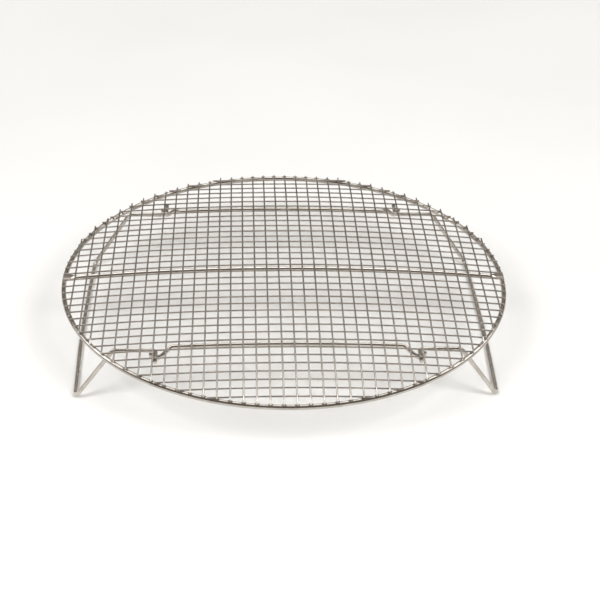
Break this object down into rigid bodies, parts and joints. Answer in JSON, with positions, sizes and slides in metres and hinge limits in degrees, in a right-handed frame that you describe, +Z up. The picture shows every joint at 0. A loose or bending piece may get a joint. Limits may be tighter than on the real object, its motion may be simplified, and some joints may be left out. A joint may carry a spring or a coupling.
{
  "type": "round cooling rack",
  "caption": "Round wire cooling rack: a welded square mesh on a rim, with a centre bar, two support rods and wire legs that fold up under it.",
  "frame": {"origin": "on the floor, under the middle of the mesh", "axes": "+Z up; +X runs along the centre bar and the lower mesh wires, from the left leg to the right leg; +Y runs along the upper mesh wires, from front to back"},
  "size_m": [0.4099, 0.41, 0.0668],
  "materials": {
    "rim_wire": "bright stainless steel wire, drawn and electropolished",
    "bar_wire": "bright stainless steel wire, ends pressed flat and welded",
    "rod_wire": "bright stainless steel wire, ends bent into hooks",
    "leg_wire": "bright stainless steel wire, bent",
    "mesh_wire": "fine stainless steel wire, spot welded where it crosses"
  },
  "bodies": {
    "rack": {"rim": "rim_wire", "centre_bar": "bar_wire", "front_rod": "rod_wire", "back_rod": "rod_wire", "lower_wires_01": "mesh_wire", "lower_wires_02": "mesh_wire", "lower_wires_03": "mesh_wire", "lower_wires_04": "mesh_wire", "lower_wires_05": "mesh_wire", "lower_wires_06": "mesh_wire", "lower_wires_07": "mesh_wire", "lower_wires_08": "mesh_wire", "lower_wires_09": "mesh_wire", "lower_wires_10": "mesh_wire", "lower_wires_11": "mesh_wire", "lower_wires_12": "mesh_wire", "lower_wires_13": "mesh_wire", "lower_wires_14": "mesh_wire", "lower_wires_15": "mesh_wire", "lower_wires_16": "mesh_wire", "lower_wires_17": "mesh_wire", "lower_wires_18": "mesh_wire", "upper_wires_01": "mesh_wire", "upper_wires_02": "mesh_wire", "upper_wires_03": "mesh_wire", "upper_wires_04": "mesh_wire", "upper_wires_05": "mesh_wire", "upper_wires_06": "mesh_wire", "upper_wires_07": "mesh_wire", "upper_wires_08": "mesh_wire", "upper_wires_09": "mesh_wire", "upper_wires_10": "mesh_wire", "upper_wires_11": "mesh_wire", "upper_wires_12": "mesh_wire", "upper_wires_13": "mesh_wire", "upper_wires_14": "mesh_wire", "upper_wires_15": "mesh_wire", "upper_wires_16": "mesh_wire", "upper_wires_17": "mesh_wire", "upper_wires_18": "mesh_wire"},
    "left_leg": {"left_leg": "leg_wire"},
    "right_leg": {"right_leg": "leg_wire"}
  },
  "joints": [
    {"name": "left_leg_fold", "type": "hinge", "parent": "rack", "child": "left_leg", "pos_m": [-0.1135, 0, 0.0538], "axis": [0, -1, 0], "range_deg": [0, 147]},
    {"name": "right_leg_fold", "type": "hinge", "parent": "rack", "child": "right_leg", "pos_m": [0.1135, 0, 0.0538], "axis": [0, 1, 0], "range_deg": [0, 147]}
  ]
}
